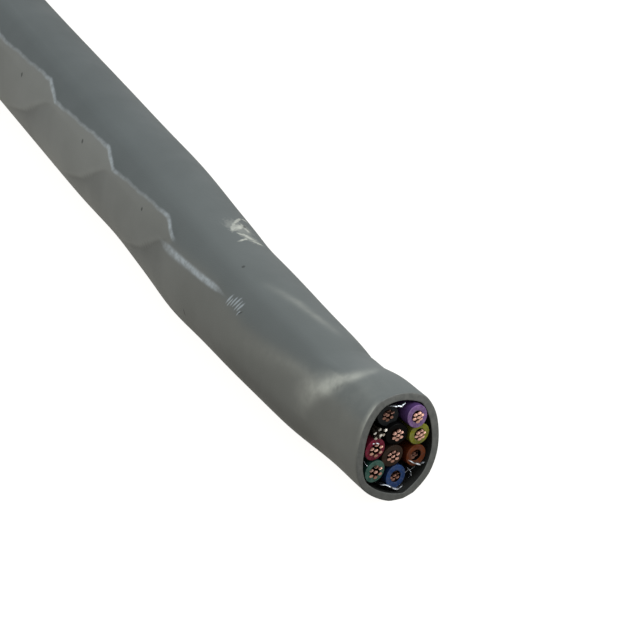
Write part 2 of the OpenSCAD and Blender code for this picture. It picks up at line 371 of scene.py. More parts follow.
@dataclass(frozen=True)
class JacketFinish:
    """Satin grey vinyl, paler where it is scuffed or scratched, with painted light and shade: lit tones on
    its flanks, highlights on the ridge and the folds, and shade inside, behind the laps and in the bend.
    """

    # Painted light: both flanks are one grey vinyl, painted cool as lit from above and warm as lit from
    # below, and lighter or darker along the length as the light falls off.
    cool_lit_grey: Rgb = (0.09, 0.098, 0.096)
    far_cool_lit_grey: Rgb = (0.084, 0.093, 0.093)
    warm_lit_grey: Rgb = (0.118, 0.118, 0.106)
    far_warm_lit_grey: Rgb = (0.166, 0.167, 0.154)
    # Pale cool tone of the painted highlight along the ridge's crest, also used for the real scratches.
    crest_highlight_and_scratch: Rgb = (0.42, 0.46, 0.49)
    # Pale beige tone of the painted highlights along the crease and the folds, also used for the real scuffs
    # and films.
    fold_highlight_and_scuff: Rgb = (0.42, 0.42, 0.37)
    cut: Rgb = (0.205, 0.207, 0.198)
    # Near black, used for painted shade, for random darker clouds and for the specks.
    dark: Rgb = (0.012, 0.012, 0.011)
    roughness: float = 0.5
    specular: float = 0.14
    mean_radius: float = 3.6 * MM
    # Where the painted light along the length starts and stops changing.
    far_start: float = 14 * MM
    far_end: float = 46 * MM
    film_share: float = 0.2
    scuff_share: float = 0.6
    scratch_share: float = 0.45
    speck_share: float = 0.65
    scuffs: tuple[Mark, ...] = (
        Mark((24.5, 83.0), (25.6, 75.0), 0.18 * MM),
        Mark((25.6, 75.0), (26.5, 63.0), 0.15 * MM),
        Mark((26.5, 63.0), (26.3, 48.0), 0.14 * MM),
        Mark((24.7, 79.0), (25.4, 68.0), 0.3 * MM),
        Mark((25.4, 68.0), (24.4, 66.0), 0.13 * MM),
        Mark((24.1, 78.0), (23.8, 72.0), 0.2 * MM),
        Mark((23.0, 86.0), (23.4, 74.0), 0.13 * MM),
        Mark((23.7, 74.0), (23.3, 68.0), 0.2 * MM),
        Mark((23.1, 71.0), (22.7, 63.0), 0.15 * MM),
    )
    films: tuple[Mark, ...] = (
        Mark((25.5, 76.0), (24.5, 71.0), 0.85 * MM),
        Mark((24.0, 74.0), (22.9, 67.0), 0.5 * MM),
    )
    scratches: tuple[Mark, ...] = (
        Mark((18.5, 150.0), (18.25, 141.0), 0.11 * MM),
        Mark((18.25, 151.0), (18.05, 143.5), 0.07 * MM),
        Mark((17.95, 149.0), (17.7, 139.0), 0.09 * MM),
        Mark((17.65, 148.0), (17.3, 137.0), 0.1 * MM),
        Mark((17.35, 149.5), (17.05, 139.5), 0.09 * MM),
        Mark((17.05, 148.0), (16.7, 138.5), 0.1 * MM),
        Mark((16.85, 151.0), (16.65, 146.0), 0.08 * MM),
    )
    specks: tuple[Mark, ...] = (
        Mark((53.85, 156.0), (53.9, 155.5), 0.14 * MM),
        Mark((42.9, 153.0), (42.95, 152.5), 0.14 * MM),
        Mark((32.45, 152.0), (32.5, 151.5), 0.12 * MM),
        Mark((19.8, 99.5), (19.85, 99.0), 0.14 * MM),
        Mark((23.3, 189.0), (23.6, 183.0), 0.08 * MM),
        Mark((25.1, 67.0), (25.4, 65.0), 0.12 * MM),
        Mark((16.8, 150.0), (16.4, 145.0), 0.06 * MM),
    )

    def _near(self, shader: Shader, wrap: Any, mark: Mark) -> Any:
        """Distance from a mark's middle, as a share of its size."""
        places = (mark.start, mark.end)
        start, end = (Vector((x * MM, math.radians(turn) * self.mean_radius, 0.0)) for x, turn in places)
        reach = end - start
        ahead = reach.normalized()
        half_length = reach.length / 2 + mark.half_width
        aside = Vector((-ahead.y, ahead.x, 0.0))
        offset = shader.vector("SUBTRACT", wrap, (start + end) / 2)
        along = shader.vector("DOT_PRODUCT", offset, ahead / half_length, number=True)
        across = shader.vector("DOT_PRODUCT", offset, aside / mark.half_width, number=True)
        squares = (shader.math("POWER", part, 2.0) for part in (along, across))
        return shader.math("SQRT", shader.math("ADD", *squares))

    def _marked(self, shader: Shader, wrap: Any, marks: tuple[Mark, ...], torn: float) -> Any:
        """Share by which a place lies on any of several marks, with edges torn by a share of their size."""
        ragged = shader.math("MULTIPLY_ADD", shader.noise(0.18 * MM, 3.0, wrap), 2 * torn, -torn)
        on_marks = None
        for mark in marks:
            near = shader.math("ADD", self._near(shader, wrap, mark), ragged)
            share = shader.spread(near, 0.45, 1.05, 1.0, 0.0)
            on_marks = share if on_marks is None else shader.math("MAXIMUM", on_marks, share)
        return on_marks

    def material(self, route: Route) -> bpy.types.Material:
        """Builds the material.

        Args:
            route: The route, whose length gives the scale of the jacket's own coordinates.

        Returns:
            The material.
        """
        shader = Shader("grey_vinyl")
        uv = shader.add("ShaderNodeUVMap", uv_map="wrap").outputs["UV"]
        circle = 2 * math.pi * self.mean_radius
        wrap = shader.vector("MULTIPLY", uv, (route.length, circle, 0.0))
        from_end = shader.add("ShaderNodeSeparateXYZ", {"Vector": wrap}).outputs["X"]
        # Painted light: the flanks' lit tones, changing along the length as the light falls off.
        far = shader.spread(from_end, self.far_start, self.far_end, 0.0, 1.0)
        upper = shader.mix(far, self.cool_lit_grey, self.far_cool_lit_grey)
        lower = shader.mix(far, self.warm_lit_grey, self.far_warm_lit_grey)
        colour = shader.mix(shader.attribute("flank"), upper, lower)
        uneven = shader.spread(shader.noise(0.8 * MM, 3.0), 0.3, 0.7, 0.7, 1.15)
        ragged = shader.spread(shader.noise(0.35 * MM, 4.0), 0.3, 0.7, 0.6, 1.25)
        # Painted highlight along the ridge's crest.
        crest_highlight_and_scratch = shader.math("MULTIPLY", shader.attribute("crest_highlight_and_scratch"), ragged)
        fold_highlight_and_scuff = shader.math("MULTIPLY", shader.attribute("fold_highlight_and_scuff"), uneven)
        colour = shader.mix(crest_highlight_and_scratch, colour, self.crest_highlight_and_scratch)
        # Painted highlights along the crease, the soft folds, the rim, the collar and before each lap.
        colour = shader.mix(fold_highlight_and_scuff, colour, self.fold_highlight_and_scuff)
        mottled = shader.mix(shader.noise(0.3 * MM, 3.0), self.cool_lit_grey, self.cut)
        colour = shader.mix(shader.attribute("cut"), colour, mottled)
        cloud = shader.spread(shader.noise(6 * MM, 3.0), 0.35, 0.65, 0.0, 0.07)
        colour = shader.mix(cloud, colour, self.dark)
        # Painted shade: behind the laps, in the nick, low on the cut, in the bend and over the lining.
        colour = shader.mix(shader.attribute("shade"), colour, self.dark)
        film = self._marked(shader, wrap, self.films, 0.6)
        scuff = shader.math("MULTIPLY", self._marked(shader, wrap, self.scuffs, 0.5), ragged)
        scratch = self._marked(shader, wrap, self.scratches, 0.4)
        speck = self._marked(shader, wrap, self.specks, 0.1)
        layers = (
            (film, self.film_share, self.fold_highlight_and_scuff),
            (scuff, self.scuff_share, self.fold_highlight_and_scuff),
            (scratch, self.scratch_share, self.crest_highlight_and_scratch),
            (speck, self.speck_share, self.dark),
        )
        for on_marks, share, tone in layers:
            colour = shader.mix(shader.math("MULTIPLY", on_marks, share), colour, tone)
        relief = shader.math("MULTIPLY_ADD", scuff, 4.0, shader.noise(0.12 * MM, 2.0))
        smooth, rough = self.roughness - 0.04, self.roughness + 0.05
        roughness = shader.spread(shader.noise(2.5 * MM), 0.3, 0.7, smooth, rough)
        return shader.finish(
            Base_Color=colour,
            Roughness=roughness,
            Specular_IOR_Level=self.specular,
            Normal=shader.bump(relief, 0.006 * MM),
        )


@dataclass(frozen=True)
class VinylFinish:
    """Semi-gloss coloured vinyl of a conductor's insulation, with a duller cut face; its sides and its bore
    are darkened as painted shade.
    """

    # Colour of the sides: the vinyl darkened as painted shade.
    wall: Rgb
    cut: Rgb
    bore_shade: Rgb = (0.004, 0.003, 0.003)
    roughness: float = 0.4
    specular: float = 0.06
    smear_grey: float = 0.55

    def pale(self) -> Rgb:
        """Greyer tone where the blade has smeared the cut face."""
        grey = self.smear_grey * sum(self.cut) / 3
        red, green, blue = (grey + (1.0 - self.smear_grey) * tone for tone in self.cut)
        return red, green, blue

    def material(self, name: str) -> bpy.types.Material:
        """Builds the material under a name."""
        shader = Shader(name)
        cloud = shader.spread(shader.noise(0.4 * MM, 3.0), 0.3, 0.7, 0.0, 0.5)
        bloom = shader.spread(shader.noise(0.16 * MM, 3.0), 0.4, 0.65, 0.0, 0.6)
        cut_colour = shader.mix(bloom, shader.mix(cloud, self.cut, self.wall), self.pale())
        # Painted shade: the darker wall colour away from the cut face, and darker still in the bore.
        colour = shader.mix(shader.attribute("cut"), self.wall, cut_colour)
        colour = shader.mix(shader.attribute("bore_shade"), colour, self.bore_shade)
        smear = shader.noise(0.12 * MM, 3.0)
        return shader.finish(
            Base_Color=colour,
            Roughness=self.roughness,
            Specular_IOR_Level=self.specular,
            Normal=shader.bump(smear, 0.015 * MM),
        )


@dataclass(frozen=True)
class MetalFinish:
    """Bare metal with fine marks and a little tarnish, bright where it is freshly cut."""

    bright: Rgb
    dull: Rgb
    roughness: float
    mark_size: float
    mark_depth: float
    fresh_tips: bool = True

    def material(self, name: str) -> bpy.types.Material:
        """Builds the material under a name."""
        shader = Shader(name)
        cloud = shader.spread(shader.noise(self.mark_size * 3, 3.0), 0.35, 0.7, 0.0, 1.0)
        colour = shader.mix(cloud, self.bright, self.dull)
        if self.fresh_tips:
            worn = shader.math("MULTIPLY_ADD", cloud, -0.4, 1.0)
            fresh = shader.math("MULTIPLY", shader.math("POWER", shader.attribute("tip"), 2.0), worn)
            colour = shader.mix(fresh, self.dull, self.bright)
        roughness = shader.spread(cloud, 0.0, 1.0, self.roughness, self.roughness + 0.15)
        marks = shader.noise(self.mark_size, 3.0)
        return shader.finish(
            Base_Color=colour,
            Metallic=1.0,
            Roughness=roughness,
            Normal=shader.bump(marks, self.mark_depth),
        )


# Each vinyl: the sides' colour, darkened as painted shade, then the cut face's colour.
VINYLS: dict[Colour, VinylFinish] = {
    Colour.BLACK: VinylFinish((0.002, 0.002, 0.002), (0.003, 0.003, 0.003)),
    Colour.BROWN: VinylFinish((0.012, 0.007, 0.005), (0.045, 0.028, 0.02)),
    Colour.RED: VinylFinish((0.05, 0.004, 0.01), (0.2, 0.015, 0.042)),
    Colour.ORANGE: VinylFinish((0.05, 0.01, 0.003), (0.15, 0.036, 0.009)),
    Colour.YELLOW: VinylFinish((0.07, 0.068, 0.007), (0.24, 0.25, 0.022)),
    Colour.GREEN: VinylFinish((0.008, 0.03, 0.024), (0.055, 0.135, 0.108)),
    Colour.BLUE: VinylFinish((0.005, 0.013, 0.04), (0.022, 0.058, 0.18)),
    Colour.VIOLET: VinylFinish((0.05, 0.025, 0.085), (0.24, 0.13, 0.33)),
    Colour.GREY: VinylFinish((0.006, 0.007, 0.0075), (0.02, 0.023, 0.025)),
}
COPPER = MetalFinish((0.68, 0.39, 0.3), (0.13, 0.057, 0.04), 0.35, 0.06 * MM, 0.006 * MM)
TIN = MetalFinish((0.62, 0.57, 0.5), (0.16, 0.14, 0.11), 0.32, 0.06 * MM, 0.006 * MM)
FOIL = MetalFinish((0.66, 0.69, 0.73), (0.34, 0.36, 0.39), 0.26, 0.2 * MM, 0.02 * MM, fresh_tips=False)


def mesh_object(name: str, points: np.ndarray, faces: np.ndarray) -> bpy.types.Object:
    """Makes an object of points and four-sided faces at the origin.

    Args:
        name: Name of the piece.
        points: Points in the row frame, one on each row.
        faces: Numbers of each face's points.

    Returns:
        The new object, shaded smooth.
    """
    mesh = bpy.data.meshes.new(name)
    mesh.from_pydata(points.reshape(-1, 3).tolist(), [], faces.tolist())
    mesh.validate()
    mesh.shade_smooth()
    piece = bpy.data.objects.new(name, mesh)
    bpy.context.scene.collection.objects.link(piece)
    return piece


def ring_faces(rings: int, sides: int, first: int = 0) -> np.ndarray:
    """Faces of a wall that closes on itself both round its rings and along them.

    Args:
        rings: Number of rings.
        sides: Number of points in each ring.
        first: Number of the first point.

    Returns:
        The four points of each face.
    """
    ring, side = np.meshgrid(np.arange(rings), np.arange(sides), indexing="ij")
    next_ring = (ring + 1) % rings
    next_side = (side + 1) % sides
    corners = [
        ring * sides + side,
        ring * sides + next_side,
        next_ring * sides + next_side,
        next_ring * sides + side,
    ]
    return first + np.stack(corners, axis=-1).reshape(-1, 4)


def keep_number(piece: bpy.types.Object, name: str, values: np.ndarray) -> None:
    """Keeps a number for each point on a piece's mesh."""
    attribute = piece.data.attributes.new(name, "FLOAT", "POINT")
    attribute.data.foreach_set("value", values.astype(np.float32).ravel())


def dress(piece: bpy.types.Object, material: bpy.types.Material | None, node: str) -> None:
    """Gives a piece its material, puts it under its body and hides the solid that it stands for.

    Args:
        piece: The finished piece.
        material: Its material, or nothing where the mesh already has it.
        node: The solid that the piece stands for.
    """
    if material is not None:
        piece.data.materials.append(material)
    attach(piece, BODY)
    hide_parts(node)
    LOG.info("%s: %d faces", piece.name, len(piece.data.polygons))


def tube_stops(length: float, last: float, count: int) -> np.ndarray:
    """Places along a tube, closer together near its cut end.

    Args:
        length: Length of the tube.
        last: How far the last place lies from the end, in millimetres.
        count: Number of places near the end.

    Returns:
        The distances along the tube.
    """
    lead = np.linspace(0.0, length - 4 * MM, 26)
    near_end = length - np.linspace(3.0, last, count) * MM
    return np.concatenate([lead, near_end])


@dataclass
class TubeProfile:
    """Profile of a tube's wall in steps along and out, which closes on itself.

    It runs along the outside to the cut end, over the cut face, back along the inside and over the plain end.
    """

    length: float
    inner: float
    outer: float
    rim: float
    skin_stops: np.ndarray
    bore_stops: np.ndarray
    rim_steps: int = 4
    face_steps: int = 4

    def build(self) -> tuple[np.ndarray, np.ndarray, np.ndarray]:
        """Works out the profile.

        Returns:
            The distance along, the distance out, and how much each step belongs to the cut face.
        """
        arc = np.linspace(0.0, math.pi / 2, self.rim_steps + 1)
        sunk = self.rim * (1.0 - np.sin(arc))
        drop = self.rim * (1.0 - np.cos(arc))
        face = np.linspace(self.outer - self.rim, self.inner + self.rim, self.face_steps + 2)[1:-1]
        level = np.zeros(len(face))
        cut_along = self.length - np.concatenate([sunk, level, sunk[::-1]])
        cut_out = np.concatenate([self.outer - drop, face, self.inner + drop[::-1]])
        along = [self.skin_stops, cut_along, self.bore_stops[::-1], [0.0, 0.0]]
        out = [
            np.full(len(self.skin_stops), self.outer),
            cut_out,
            np.full(len(self.bore_stops), self.inner),
            [self.inner + self.rim, self.outer - self.rim],
        ]
        on_face = (cut_along > self.length - 0.6 * self.rim).astype(float)
        cut = [np.zeros(len(self.skin_stops)), on_face, np.zeros(len(self.bore_stops)), [0.0, 0.0]]
        return np.concatenate(along), np.concatenate(out), np.concatenate(cut)


@dataclass(frozen=True)
class SoftSpot:
    """A soft spot on the jacket: a swelling, with a negative height a dent, or a patch of painted light or
    shade.
    """

    from_end: float
    angle: float
    half_along: float
    half_round: float
    height: float

    def form(self, from_end: np.ndarray, angle: np.ndarray) -> np.ndarray:
        """Height of the spot at a place on the jacket."""
        along = bell((from_end - self.from_end) / self.half_along)
        return self.height * along * bell(turned(angle, self.angle) / self.half_round)


@dataclass(frozen=True)
class SoftFold:
    """A painted highlight along a soft fold of the jacket: its strength and its angle by the distance from
    the cut end in mm.
    """

    strength: Curve
    angle: Curve
    half_round: float

    def form(self, from_end: np.ndarray, angle: np.ndarray) -> np.ndarray:
        """Strength of the fold at a place on the jacket."""
        off = turned(angle, self.angle.read(from_end / MM))
        return self.strength.read(from_end / MM) * bell(off / self.half_round)


CREASE_ANGLES = (70.0, 84.0, 95.0, 122.0, 138.0, 147.0, 154.0, 166.0, 176.0)


@dataclass
class Jacket:
    """Outer jacket: a soft tube, oval from handling, with a crease near the cut end."""

    section: Section
    route: Route
    angle_step: float = 2.0
    fine_angle_step: float = 0.6
    fine_from: float = 131.0
    fine_to: float = 164.0
    ring_step: float = 0.22 * MM
    rim: float = 0.07 * MM
    lip: float = 0.06 * MM
    lip_length: float = 0.2 * MM
    crease_depth: float = 0.25 * MM
    crease_from_end: float = 6 * MM
    crease_width: float = 2 * MM
    crease_angle: float = 72.0
    crease_spread: float = 75.0
    crease_slant: float = 0.03 * MM
    swell_height: float = 0.12 * MM
    swell_from_end: float = 38 * MM
    swell_length: float = 17 * MM
    underside_spread: float = 45.0
    ridge_height: float = 0.13 * MM
    ridge_angle: float = 143.0
    ridge_spread: float = 14.0
    ridge_crest: float = 1.5
    ridge_end: float = 27.4 * MM
    last_run_start: float = 28.2 * MM
    last_run_end: float = 19.8 * MM
    tape_pitch: float = 10.42 * MM
    tape_from_end: float = 28.45 * MM
    tape_swing: float = 4.7
    tape_step: float = 0.09
    lap_depth: float = 0.05 * MM
    lap_width: float = 0.22 * MM
    lap_length: float = 3.6 * MM
    lap_ahead: float = 1.2 * MM
    lap_slant: float = 0.165 * MM
    lap_start: float = 153.0
    lap_angle: float = 172.0
    lap_spread: float = 20.0
    notch_depth: float = 0.3 * MM
    notch_from_end: float = 7.2 * MM
    notch_length: float = 1.8 * MM
    notch_angle: float = 42.0
    notch_spread: float = 34.0
    nick_from_end: float = 4.0 * MM
    nick_width: float = 0.13 * MM
    nick_slant: float = 0.05 * MM
    nick_angle: float = 137.0
    nick_spread: float = 4.5
    # Painted shade in the nick and behind the laps, a painted highlight before each lap, and painted shade
    # over the lining and low on the cut, away from the lit angle.
    nick_shade: float = 0.4
    lap_shade: float = 0.34
    lap_highlight: float = 0.06
    lap_highlight_width: float = 0.3 * MM
    lining_shade: float = 0.93
    low_cut_shade: float = 0.2
    low_cut_depth: float = 0.1 * MM
    lit_angle: float = 70.0
    ridge_fade: float = 1.5 * MM
    tone_fade: float = 0.5 * MM
    last_fade: float = 1.2 * MM
    ridge_edge: float = 3.0
    fold_edge: float = 11.0
    step_reach: float = 0.16
    # Width and strength of the painted highlight along the ridge's crest and along its last run.
    line_width: float = 1.5
    line_step_width: float = 0.6
    line_pale: float = 0.18
    line_step_pale: float = 0.27
    last_line_width: float = 1.0
    last_line_widening: float = 1.8
    last_line_pale: float = 0.48
    crease_front: float = 0.55
    near_share: float = 0.92
    sharp_angle: float = math.radians(50)
    nominal_diameter: float = 7 * MM
    path_step: float = 2 * MM
    last_angle: Curve = Curve((19.8, 22.4, 24.8, 28.1), (147.0, 151.0, 154.0, 157.0))
    flank_angle: Curve = Curve(
        (0.0, 5.0, 7.7, 10.2, 12.7, 15.6, 19.8, 22.4, 24.8, 28.1),
        (146.0, 144.0, 143.0, 145.0, 149.0, 152.0, 146.0, 146.0, 150.0, 154.0),
    )
    # Painted highlight along the crease: its middle and width in mm from the cut end, and its strength, by
    # the angle round the jacket.
    crease_highlight_middle: Curve = Curve(CREASE_ANGLES, (3.7, 3.4, 3.3, 3.8, 4.6, 5.4, 6.1, 6.7, 7.0))
    crease_highlight_width: Curve = Curve(CREASE_ANGLES, (0.5, 0.55, 0.65, 0.85, 1.4, 1.6, 1.5, 1.2, 1.1))
    crease_highlight_strength: Curve = Curve(CREASE_ANGLES, (0.0, 0.2, 0.34, 0.5, 0.6, 0.6, 0.42, 0.12, 0.0))
    upper_fold_highlight: SoftFold = SoftFold(
        Curve((8.5, 11.0, 14.0, 17.5), (0.0, 0.18, 0.19, 0.0)),
        Curve((8.0, 10.1, 14.0, 17.3), (73.0, 76.0, 83.0, 96.0)),
        4.5,
    )
    lower_fold_highlight: SoftFold = SoftFold(
        Curve((5.0, 7.0, 12.0, 18.0), (0.0, 0.13, 0.08, 0.0)),
        Curve((7.7, 10.2, 12.7, 15.6), (147.0, 151.0, 157.0, 161.0)),
        7.0,
    )
    # Painted highlights on the cut end's rim and on a collar below the crease.
    rim_highlight: SoftSpot = SoftSpot(0.0, 140.0, 0.25 * MM, 18.0, 0.7)
    collar_highlight: SoftSpot = SoftSpot(1.8 * MM, 122.0, 2.2 * MM, 36.0, 0.11)
    # Painted shade low in the bend.
    bend_shade: SoftSpot = SoftSpot(12.5 * MM, 191.0, 8 * MM, 19.0, 0.4)
    tongue: SoftSpot = SoftSpot(0.0, 268.0, 1.5 * MM, 20.0, 0.36 * MM)
    dents: tuple[SoftSpot, ...] = (
        SoftSpot(2.6 * MM, 80.0, 1.5 * MM, 45.0, 0.1 * MM),
        SoftSpot(17.0 * MM, 42.0, 4.0 * MM, 45.0, 0.08 * MM),
        SoftSpot(23.0 * MM, 42.0, 2.2 * MM, 30.0, -0.09 * MM),
        SoftSpot(34.5 * MM, 42.0, 5.0 * MM, 45.0, 0.15 * MM),
        SoftSpot(66.0 * MM, 42.0, 18.0 * MM, 55.0, -0.42 * MM),
        SoftSpot(4.5 * MM, 215.0, 3.5 * MM, 45.0, -0.38 * MM),
        SoftSpot(13.0 * MM, 220.0, 4.5 * MM, 45.0, -0.13 * MM),
        SoftSpot(26.0 * MM, 220.0, 4.0 * MM, 45.0, 0.33 * MM),
        SoftSpot(37.0 * MM, 220.0, 4.0 * MM, 45.0, -0.2 * MM),
    )

    def tape_phase(self, from_end: np.ndarray) -> np.ndarray:
        """Where a place lies between two steps of the tape, from -0.5 to 0.5 with the step at 0."""
        return ((from_end - self.tape_from_end) / self.tape_pitch + 0.5) % 1.0 - 0.5

    def ridge_turn(self, from_end: np.ndarray, angle: np.ndarray) -> np.ndarray:
        """Turn away from the crest of the ridge, which zigzags with the laps of the tape.

        Args:
            from_end: Distance from the cut end.
            angle: Angle in the section, in degrees.

        Returns:
            The turn in degrees.
        """
        step = self.tape_step
        swing = np.interp(self.tape_phase(from_end), [-0.5, -step, step, 0.5], [0.0, 1.0, -1.0, 0.0])
        waver = waves(from_end / MM, (0.4, 1.9, 0.0), (0.3, 4.7, 1.0))
        return turned(angle, self.ridge_angle + self.tape_swing * swing + waver)

    def last_turn(self, from_end: np.ndarray, angle: np.ndarray) -> np.ndarray:
        """Turn away from the ridge's last run, which lies lower than the rest of it."""
        return turned(angle, self.last_angle.read(from_end / MM))

    def ridge_left(self, from_end: np.ndarray, fade: float) -> np.ndarray:
        """Share of the zigzag ridge that is left at a distance from the cut end."""
        return ramp((from_end - self.ridge_end) / fade)

    def last_run_left(self, from_end: np.ndarray, fade: float) -> np.ndarray:
        """Share of the ridge's last run at a distance from the cut end."""
        return ramp((from_end - self.last_run_end) / fade) * ramp((self.last_run_start - from_end) / fade)

    def past_lap(self, from_end: np.ndarray, angle: np.ndarray) -> np.ndarray:
        """Distance past the nearest edge of the tape, towards the cut end."""
        below_step = turned(angle, self.ridge_angle + self.tape_swing)
        edge = self.tape_from_end - self.lap_ahead + self.lap_slant * below_step
        past = self.tape_pitch - (from_end - edge) % self.tape_pitch
        return np.where(past > self.near_share * self.tape_pitch, past - self.tape_pitch, past)

    def on_laps(self, from_end: np.ndarray, angle: np.ndarray) -> np.ndarray:
        """Share by which a place lies where the laps show, on the lower flank."""
        below = ramp(turned(angle, self.lap_start) / self.ridge_edge)
        on_strip = bell(turned(angle, self.lap_angle) / self.lap_spread)
        return below * on_strip * self.ridge_left(from_end, self.ridge_fade)

    def lap(self, from_end: np.ndarray, angle: np.ndarray) -> np.ndarray:
        """Sunk strip behind each lap of the tape, from 0 to 1."""
        past = self.past_lap(from_end, angle)
        strip = ramp(past / self.lap_width) * np.exp(-np.maximum(past, 0.0) / self.lap_length)
        return strip * self.on_laps(from_end, angle)

    def flank(self, from_end: np.ndarray, angle: np.ndarray) -> np.ndarray:
        """Share by which a place takes the warmer lower flank's painted light, below the ridge and the soft
        fold.
        """
        on_ridge = self.ridge_left(from_end, self.tone_fade)
        below_ridge = ramp(self.ridge_turn(from_end, angle) / self.ridge_edge)
        below_fold = ramp(turned(angle, self.flank_angle.read(from_end / MM)) / self.fold_edge)
        return on_ridge * below_ridge + (1.0 - on_ridge) * below_fold

    def crease(self, from_end: np.ndarray, angle: np.ndarray) -> np.ndarray:
        """Depth of the crease near the cut end."""
        off = turned(angle, self.crease_angle)
        along = (from_end - self.crease_from_end - self.crease_slant * off) / self.crease_width
        return self.crease_depth * bell(off / self.crease_spread) * bell(along)

    def soft_form(self, from_end: np.ndarray, angle: np.ndarray) -> np.ndarray:
        """How far the skin stands out of the plain tube."""
        turns = (self.ridge_turn(from_end, angle), self.last_turn(from_end, angle))
        crest, last_crest = (np.exp(-np.hypot(turn, self.ridge_crest) / self.ridge_spread) for turn in turns)
        ridge = crest * self.ridge_left(from_end, self.ridge_fade)
        last_run = last_crest * self.last_run_left(from_end, self.ridge_fade)
        ridge = self.ridge_height * np.maximum(ridge, last_run)
        swell = self.swell_height * bell((from_end - self.swell_from_end) / self.swell_length)
        lap = self.lap_depth * self.lap(from_end, angle)
        notch = self.notch_depth * np.exp(-np.abs(from_end - self.notch_from_end) / self.notch_length)
        notch = notch * bell(turned(angle, self.notch_angle) / self.notch_spread)
        dents = sum(dent.form(from_end, angle) for dent in self.dents)
        off_floor = 1.0 - bell(turned(angle, self.section.underside_angle) / self.underside_spread)
        return (swell + ridge - lap - notch - self.crease(from_end, angle) + dents) * off_floor

    def crest_highlight_and_scratch(self, from_end: np.ndarray, angle: np.ndarray) -> np.ndarray:
        """Strength of the painted highlight along the ridge's crest, most of all at the steps of the tape."""
        at_step = bell(self.tape_phase(from_end) / self.step_reach)
        width = self.line_width + self.line_step_width * at_step
        pale = self.line_pale + self.line_step_pale * at_step
        line = bell((self.ridge_turn(from_end, angle) / width) ** 2) * pale
        last_left = self.last_run_left(from_end, self.last_fade)
        last_width = self.last_line_width + self.last_line_widening * last_left
        last_line = bell((self.last_turn(from_end, angle) / last_width) ** 2) * self.last_line_pale
        return np.maximum(line * self.ridge_left(from_end, self.tone_fade), last_line * last_left)

    def fold_highlight_and_scuff(self, from_end: np.ndarray, angle: np.ndarray) -> np.ndarray:
        """Strength of the painted highlights along the crease, along two soft folds that run up to it, on the
        rim, on a thin rim before each lap and on a collar below the crease.
        """
        off = from_end / MM - self.crease_highlight_middle.read(angle)
        width = self.crease_highlight_width.read(angle)
        width = np.where(off > 0.0, width, self.crease_front * width)
        crease = self.crease_highlight_strength.read(angle) * bell(off / width)
        fold_highlights = np.maximum(self.upper_fold_highlight.form(from_end, angle), self.lower_fold_highlight.form(from_end, angle))
        rim = self.rim_highlight.form(from_end, angle)
        # Painted highlight on a thin rim just before each lap of the tape.
        before_lap = (self.past_lap(from_end, angle) + self.lap_highlight_width) / self.lap_highlight_width
        lap_edge_highlight = self.lap_highlight * bell(before_lap) * self.on_laps(from_end, angle)
        collar_light = self.collar_highlight.form(from_end, angle)
        return np.maximum(crease, np.maximum(fold_highlights, rim)) + lap_edge_highlight + collar_light

    def shade(self, from_end: np.ndarray, angle: np.ndarray) -> np.ndarray:
        """Painted shade on the skin: behind the tape's laps, in a nick by the crease, low on the cut and in
        the bend.
        """
        off = turned(angle, self.nick_angle)
        along_nick = (from_end - self.nick_from_end - self.nick_slant * off) / self.nick_width
        nick_shadow = self.nick_shade * bell(along_nick) * bell(off / self.nick_spread)
        unlit = 1.0 - unit(angle - self.lit_angle)[0]
        low_cut = self.low_cut_shade * unlit * bell(from_end / self.low_cut_depth)
        lap = self.lap_shade * self.lap(from_end, angle)
        return lap + nick_shadow + low_cut + self.bend_shade.form(from_end, angle)

    def angles(self) -> np.ndarray:
        """Angles of the mesh's points round the jacket, closer together along the ridge."""
        below = np.arange(-89.0, self.fine_from, self.angle_step)
        fine = np.arange(self.fine_from, self.fine_to, self.fine_angle_step)
        above = np.arange(self.fine_to, 270.0, self.angle_step)
        return np.concatenate([below, fine, above])

    def build(self) -> bpy.types.Object:
        """Makes the jacket's mesh, with its own coordinates and tones.

        Returns:
            The jacket.
        """
        section, route = self.section, self.route
        skin = np.linspace(0.0, route.length - self.rim, round(route.length / self.ring_step))[:-1]
        runs = (np.arange(0.0, 3.0, 0.5), np.arange(3.0, 77.0, 4.0), np.arange(77.0, 80.1, 0.15))
        lining_stops = np.concatenate(runs) * MM
        profile = TubeProfile(
            route.length, section.jacket_inner, section.jacket_outer, self.rim, skin, lining_stops
        )
        along, out, on_cut = profile.build()
        angle = self.angles()
        along_grid, angle_grid = np.meshgrid(along, angle, indexing="ij")
        from_end = route.length - along_grid
        share = np.clip((out - section.jacket_inner) / section.jacket_wall, 0.0, 1.0)[:, None]
        lining = 1.0 - share
        uneven = waves(np.radians(angle_grid), (0.35, 3.0, math.radians(40)), (0.3, 7.0, 0.0))
        lip = self.lip * (1.0 + uneven) * np.exp(-from_end / self.lip_length) * lining
        grow = out[:, None] + share * self.soft_form(from_end, angle_grid) - lip
        left, up = section.jacket_point(angle_grid, grow)
        up = np.maximum(up, section.floor)
        ahead = self.tongue.form(from_end, angle_grid)
        points = route.place(route.leaned(along_grid, up) + ahead, left, up)
        faces = ring_faces(len(along), len(angle))
        jacket = mesh_object("jacket_skin", points, faces)
        self._wrap(jacket, from_end / route.length, angle / 360.0)
        on_face = on_cut[:, None]
